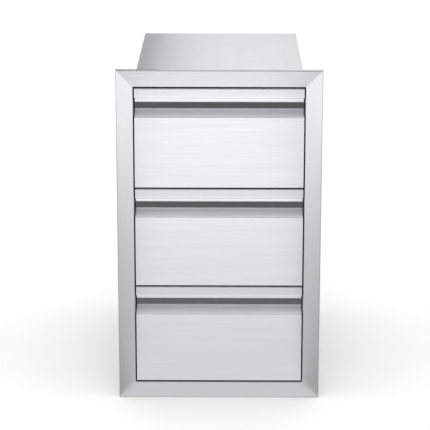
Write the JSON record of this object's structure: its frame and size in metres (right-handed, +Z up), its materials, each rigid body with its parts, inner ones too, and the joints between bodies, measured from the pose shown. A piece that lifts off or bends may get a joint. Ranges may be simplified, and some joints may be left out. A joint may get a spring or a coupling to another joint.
{
  "type": "outdoor kitchen drawer unit",
  "caption": "Built-in brushed stainless steel drawer unit: mitred trim frame, closed carcass and full extension drawers with folded full-width finger channels.",
  "frame": {"origin": "on the island's face, at the middle of the flat seat of the trim's bottom lip, 6 mm above the trim's bottom edge", "axes": "+X to the right seen from the front, +Y back into the island, +Z up; the drawers open along -Y"},
  "size_m": [0.355, 0.52, 0.594],
  "materials": {
    "brushed_stainless_trim": "brushed stainless steel, No. 4 finish, grain along each member",
    "brushed_stainless_front": "brushed stainless steel, No. 4 finish, grain across the front",
    "stainless_carcass": "mill finish stainless steel sheet, satin",
    "stainless_tub": "2B mill finish stainless steel sheet, satin",
    "slide_steel": "roll-formed zinc-plated steel, semi-gloss",
    "screw_steel": "zinc-plated steel screw, semi-gloss",
    "stop_rubber": "moulded black rubber, matt"
  },
  "bodies": {
    "cabinet": {"trim_top": "brushed_stainless_trim", "trim_bottom": "brushed_stainless_trim", "trim_left": "brushed_stainless_trim", "trim_right": "brushed_stainless_trim", "carcass_top": "stainless_carcass", "carcass_bottom": "stainless_carcass", "carcass_left": "stainless_carcass", "carcass_right": "stainless_carcass", "carcass_back": "stainless_carcass", "slide_1_left_outer": "slide_steel", "slide_1_right_outer": "slide_steel", "slide_2_left_outer": "slide_steel", "slide_2_right_outer": "slide_steel", "slide_3_left_outer": "slide_steel", "slide_3_right_outer": "slide_steel", "slide_stops": "stop_rubber", "cabinet_screws": "screw_steel"},
    "drawer_1": {"drawer_1_front": "brushed_stainless_front", "drawer_1_liner": "stainless_tub", "drawer_1_tub": "stainless_tub", "drawer_1_back": "stainless_tub", "slide_1_left_inner": "slide_steel", "slide_1_right_inner": "slide_steel", "drawer_1_slide_screws": "screw_steel", "drawer_1_front_screws": "screw_steel"},
    "slide_1_middles": {"slide_1_left_middle": "slide_steel", "slide_1_right_middle": "slide_steel"},
    "drawer_2": {"drawer_2_front": "brushed_stainless_front", "drawer_2_liner": "stainless_tub", "drawer_2_tub": "stainless_tub", "drawer_2_back": "stainless_tub", "slide_2_left_inner": "slide_steel", "slide_2_right_inner": "slide_steel", "drawer_2_slide_screws": "screw_steel", "drawer_2_front_screws": "screw_steel"},
    "slide_2_middles": {"slide_2_left_middle": "slide_steel", "slide_2_right_middle": "slide_steel"},
    "drawer_3": {"drawer_3_front": "brushed_stainless_front", "drawer_3_liner": "stainless_tub", "drawer_3_tub": "stainless_tub", "drawer_3_back": "stainless_tub", "slide_3_left_inner": "slide_steel", "slide_3_right_inner": "slide_steel", "drawer_3_slide_screws": "screw_steel", "drawer_3_front_screws": "screw_steel"},
    "slide_3_middles": {"slide_3_left_middle": "slide_steel", "slide_3_right_middle": "slide_steel"}
  },
  "joints": [
    {"name": "drawer_1_slide", "type": "slide", "parent": "cabinet", "child": "drawer_1", "axis": [0, -1, 0], "range_m": [0, 0.445]},
    {"name": "drawer_2_slide", "type": "slide", "parent": "cabinet", "child": "drawer_2", "axis": [0, -1, 0], "range_m": [0, 0.445]},
    {"name": "drawer_3_slide", "type": "slide", "parent": "cabinet", "child": "drawer_3", "axis": [0, -1, 0], "range_m": [0, 0.445]},
    {"name": "middles_1_slide", "type": "slide", "parent": "cabinet", "child": "slide_1_middles", "axis": [0, -1, 0], "range_m": [0, 0.2225]},
    {"name": "middles_2_slide", "type": "slide", "parent": "cabinet", "child": "slide_2_middles", "axis": [0, -1, 0], "range_m": [0, 0.2225]},
    {"name": "middles_3_slide", "type": "slide", "parent": "cabinet", "child": "slide_3_middles", "axis": [0, -1, 0], "range_m": [0, 0.2225]}
  ],
  "couplings": [
    {"joint": "middles_1_slide", "follows": "drawer_1_slide", "ratio": 0.5},
    {"joint": "middles_2_slide", "follows": "drawer_2_slide", "ratio": 0.5},
    {"joint": "middles_3_slide", "follows": "drawer_3_slide", "ratio": 0.5}
  ]
}
